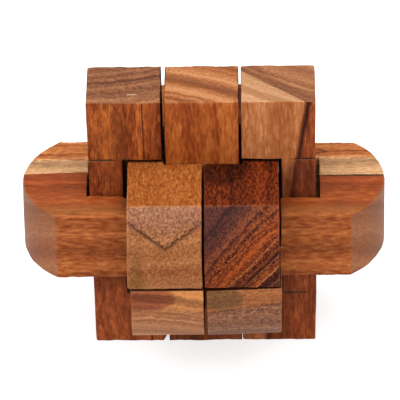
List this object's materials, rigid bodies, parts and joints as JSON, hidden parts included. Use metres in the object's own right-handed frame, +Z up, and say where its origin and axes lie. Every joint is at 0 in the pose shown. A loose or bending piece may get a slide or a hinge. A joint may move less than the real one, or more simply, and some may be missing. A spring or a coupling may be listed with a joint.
{
  "type": "wooden burr puzzle",
  "caption": "Wooden burr puzzle of notched square sticks that cross in three directions and lock together; a plain upright key stick lifts out to free the rest.",
  "frame": {"origin": "on the table, under the centre of the puzzle, at the middle of the key post's lower end", "axes": "+X to the right along the rails, +Y to the back along the bars, +Z up along the posts"},
  "size_m": [0.098, 0.0842, 0.0752],
  "materials": {
    "left_post_wood": "hand-rubbed oil finish, satin",
    "key_post_wood": "hand-rubbed oil finish, satin",
    "right_post_wood": "hand-rubbed oil finish, satin",
    "front_rail_wood": "hand-rubbed oil finish, satin",
    "back_rail_wood": "hand-rubbed oil finish, satin",
    "upper_left_bar_wood": "hand-rubbed oil finish, satin",
    "upper_right_bar_wood": "hand-rubbed oil finish, satin",
    "lower_left_bar_wood": "hand-rubbed oil finish, satin",
    "lower_right_bar_wood": "hand-rubbed oil finish, satin"
  },
  "bodies": {
    "left_post": {"left_post": "left_post_wood"},
    "key_post": {"key_post": "key_post_wood"},
    "right_post": {"right_post": "right_post_wood"},
    "front_rail": {"front_rail": "front_rail_wood"},
    "back_rail": {"back_rail": "back_rail_wood"},
    "upper_left_bar": {"upper_left_bar": "upper_left_bar_wood"},
    "upper_right_bar": {"upper_right_bar": "upper_right_bar_wood"},
    "lower_left_bar": {"lower_left_bar": "lower_left_bar_wood"},
    "lower_right_bar": {"lower_right_bar": "lower_right_bar_wood"}
  },
  "joints": [
    {"name": "key_post_lift", "type": "slide", "parent": "left_post", "child": "key_post", "axis": [0, 0, 1], "range_m": [0, 0.08]},
    {"name": "right_post_play", "type": "slide", "parent": "left_post", "child": "right_post", "axis": [0, 0, 1], "range_m": [-0.0007, 0.0007]},
    {"name": "front_rail_play", "type": "slide", "parent": "left_post", "child": "front_rail", "axis": [1, 0, 0], "range_m": [-0.0003, 0.0003]},
    {"name": "back_rail_play", "type": "slide", "parent": "left_post", "child": "back_rail", "axis": [1, 0, 0], "range_m": [-0.0003, 0.0003]},
    {"name": "upper_left_bar_play", "type": "slide", "parent": "left_post", "child": "upper_left_bar", "axis": [0, 1, 0], "range_m": [-0.0003, 0.0003]},
    {"name": "upper_right_bar_play", "type": "slide", "parent": "left_post", "child": "upper_right_bar", "axis": [0, 1, 0], "range_m": [-0.0003, 0.0003]},
    {"name": "lower_left_bar_play", "type": "slide", "parent": "left_post", "child": "lower_left_bar", "axis": [0, 1, 0], "range_m": [-0.0003, 0.0003]},
    {"name": "lower_right_bar_play", "type": "slide", "parent": "left_post", "child": "lower_right_bar", "axis": [0, 1, 0], "range_m": [-0.0003, 0.0003]}
  ]
}
